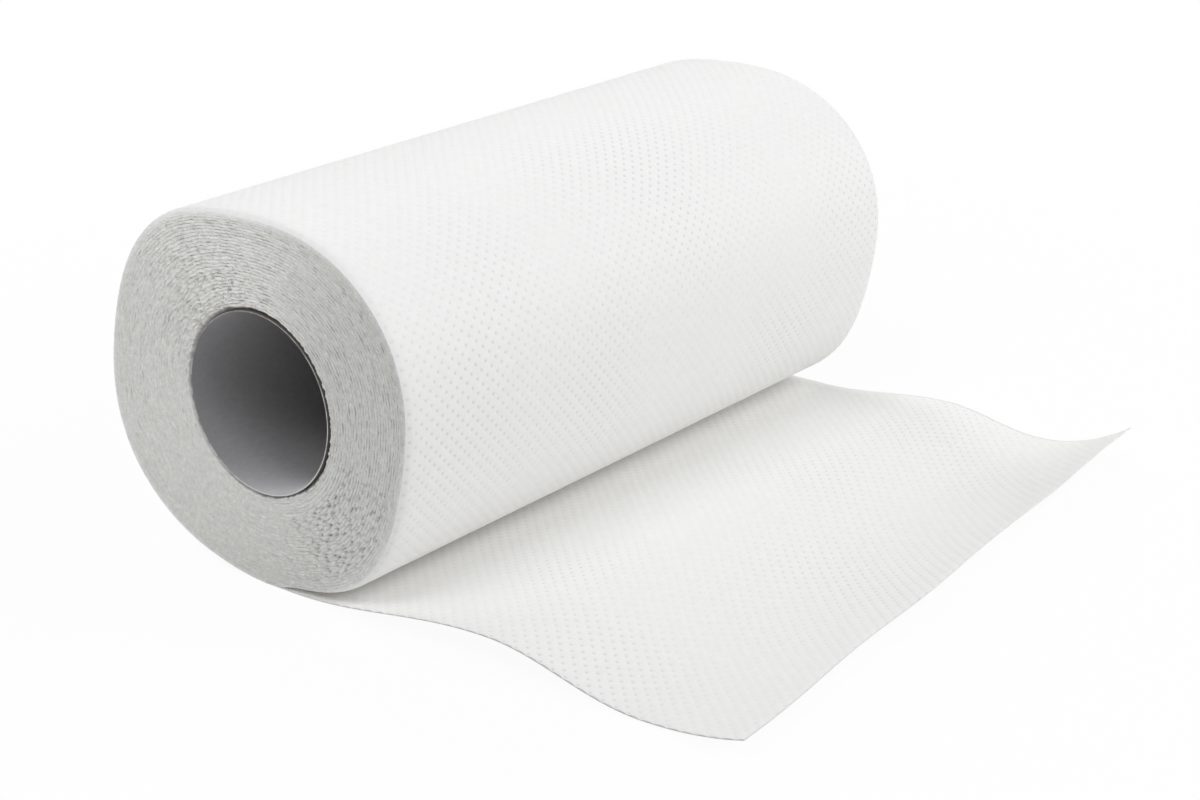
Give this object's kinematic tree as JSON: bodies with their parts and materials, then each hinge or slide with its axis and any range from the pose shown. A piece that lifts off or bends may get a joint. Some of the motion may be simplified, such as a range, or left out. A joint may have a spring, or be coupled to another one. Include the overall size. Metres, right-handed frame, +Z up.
{
  "type": "paper towel roll",
  "caption": "Soft roll of embossed white towel paper on a cardboard core, lying on its side with its loose end spread on the floor.",
  "frame": {"origin": "on the floor under the axis of the core, at half the width of the web, on the flat spot that the roll rests on", "axes": "+Y along the core, +X towards the loose end of the web, +Z up"},
  "size_m": [0.2113, 0.22, 0.1019],
  "materials": {
    "core_board": "smooth grey spiral-wound board",
    "towel_paper": "matt white towel paper, embossed with small staggered dimples"
  },
  "bodies": {
    "root": {"core_tube": "core_board", "wound_turns": "towel_paper", "loose_sheet": "towel_paper"}
  },
  "joints": []
}
